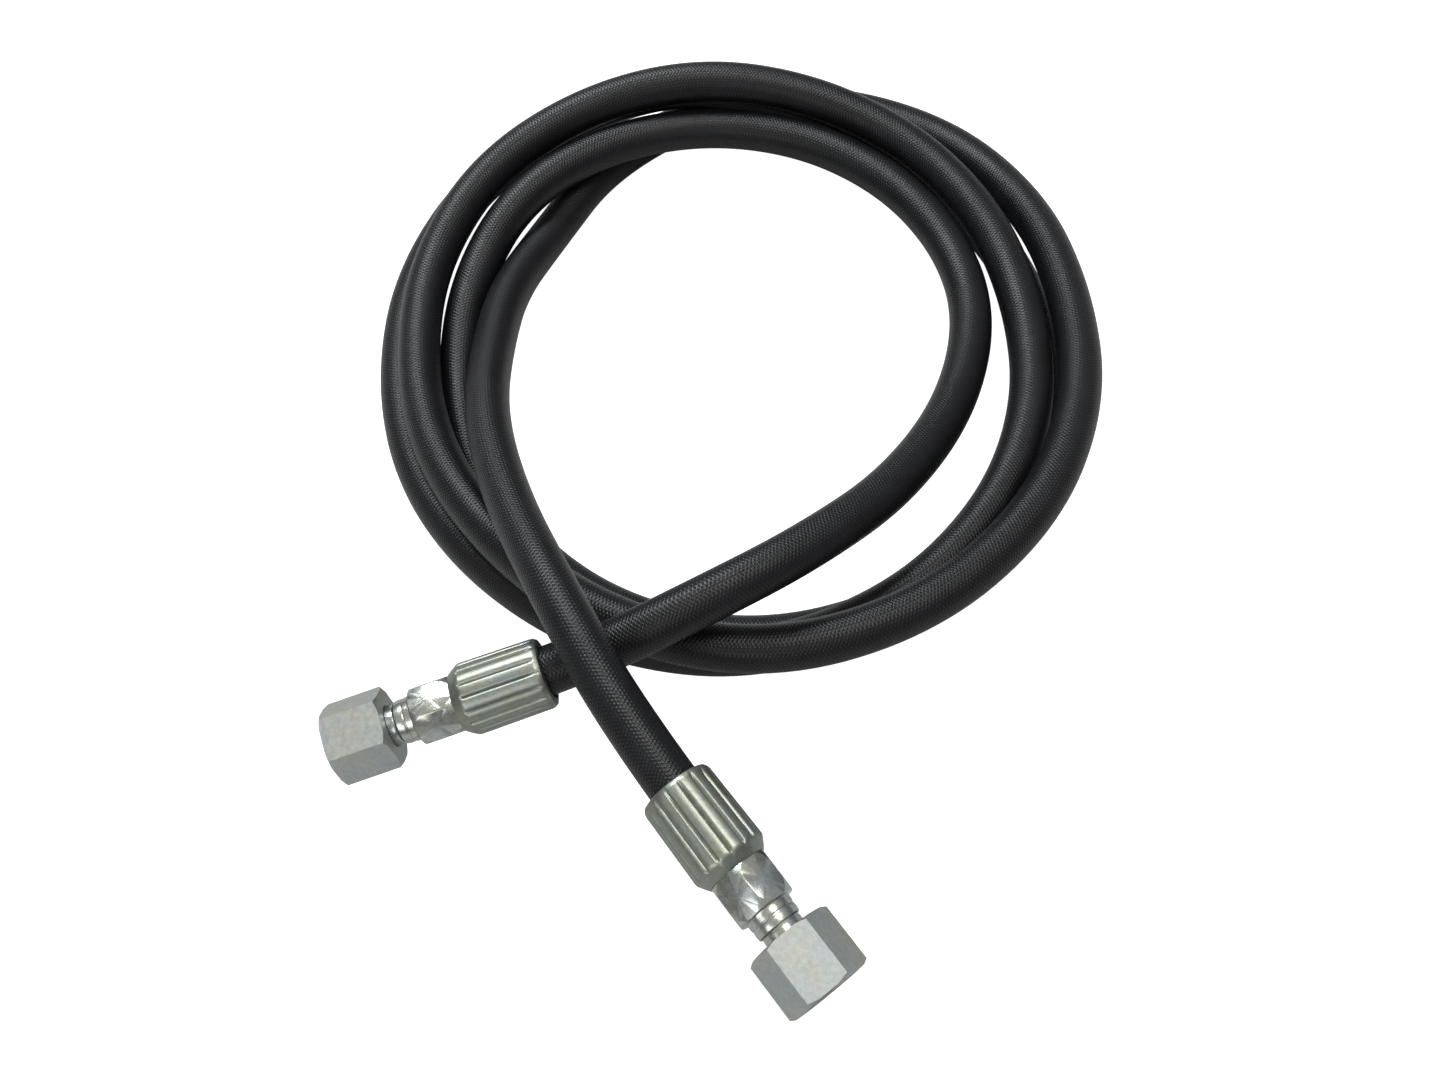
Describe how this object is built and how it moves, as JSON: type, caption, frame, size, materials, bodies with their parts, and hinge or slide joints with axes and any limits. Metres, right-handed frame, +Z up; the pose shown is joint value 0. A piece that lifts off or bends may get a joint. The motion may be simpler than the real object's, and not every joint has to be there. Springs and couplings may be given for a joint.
{
  "type": "hydraulic hose assembly",
  "caption": "Coiled two-wire-braid hydraulic hose with a crimped ferrule, barbed nipple and free-turning hexagon swivel nut on each end.",
  "frame": {"origin": "on the surface that the coil lies on, under the middle of the bounding box of the whole part", "axes": "+Z up from that surface; the two fittings lie on the -Y side, fitting a pointing towards -X and fitting b towards -Y and +X"},
  "size_m": [0.2608, 0.3784, 0.0686],
  "materials": {
    "cover_rubber": "satin black synthetic rubber with a fine cloth-wrap imprint",
    "tube_rubber": "smooth black oil-resistant rubber",
    "braid_wire": "brass-tinted high-tensile wire braid",
    "plated_steel": "turned steel, bright zinc plating",
    "plated_steel_crimped": "crimped steel, bright zinc plating",
    "plated_steel_nut": "drawn hexagon steel, satin zinc plating",
    "ring_rubber": "smooth black nitrile rubber"
  },
  "bodies": {
    "hose": {"inner_tube": "tube_rubber", "inner_wire_braid": "braid_wire", "braid_interlayer": "tube_rubber", "outer_wire_braid": "braid_wire", "outer_cover": "cover_rubber", "nipple_a": "plated_steel", "ferrule_a": "plated_steel_crimped", "o_ring_a": "ring_rubber", "nipple_b": "plated_steel", "ferrule_b": "plated_steel_crimped", "o_ring_b": "ring_rubber"},
    "nut_a": {"swivel_nut_a": "plated_steel_nut"},
    "nut_b": {"swivel_nut_b": "plated_steel_nut"}
  },
  "joints": [
    {"name": "nut_a_swivel", "type": "hinge", "parent": "hose", "child": "nut_a", "pos_m": [-0.12344, -0.09466, 0.03338], "axis": [-0.9692, -0.2012, -0.1417], "continuous": true},
    {"name": "nut_b_swivel", "type": "hinge", "parent": "hose", "child": "nut_b", "pos_m": [0.00719, -0.17934, 0.04957], "axis": [0.542, -0.8311, -0.1242], "continuous": true}
  ]
}
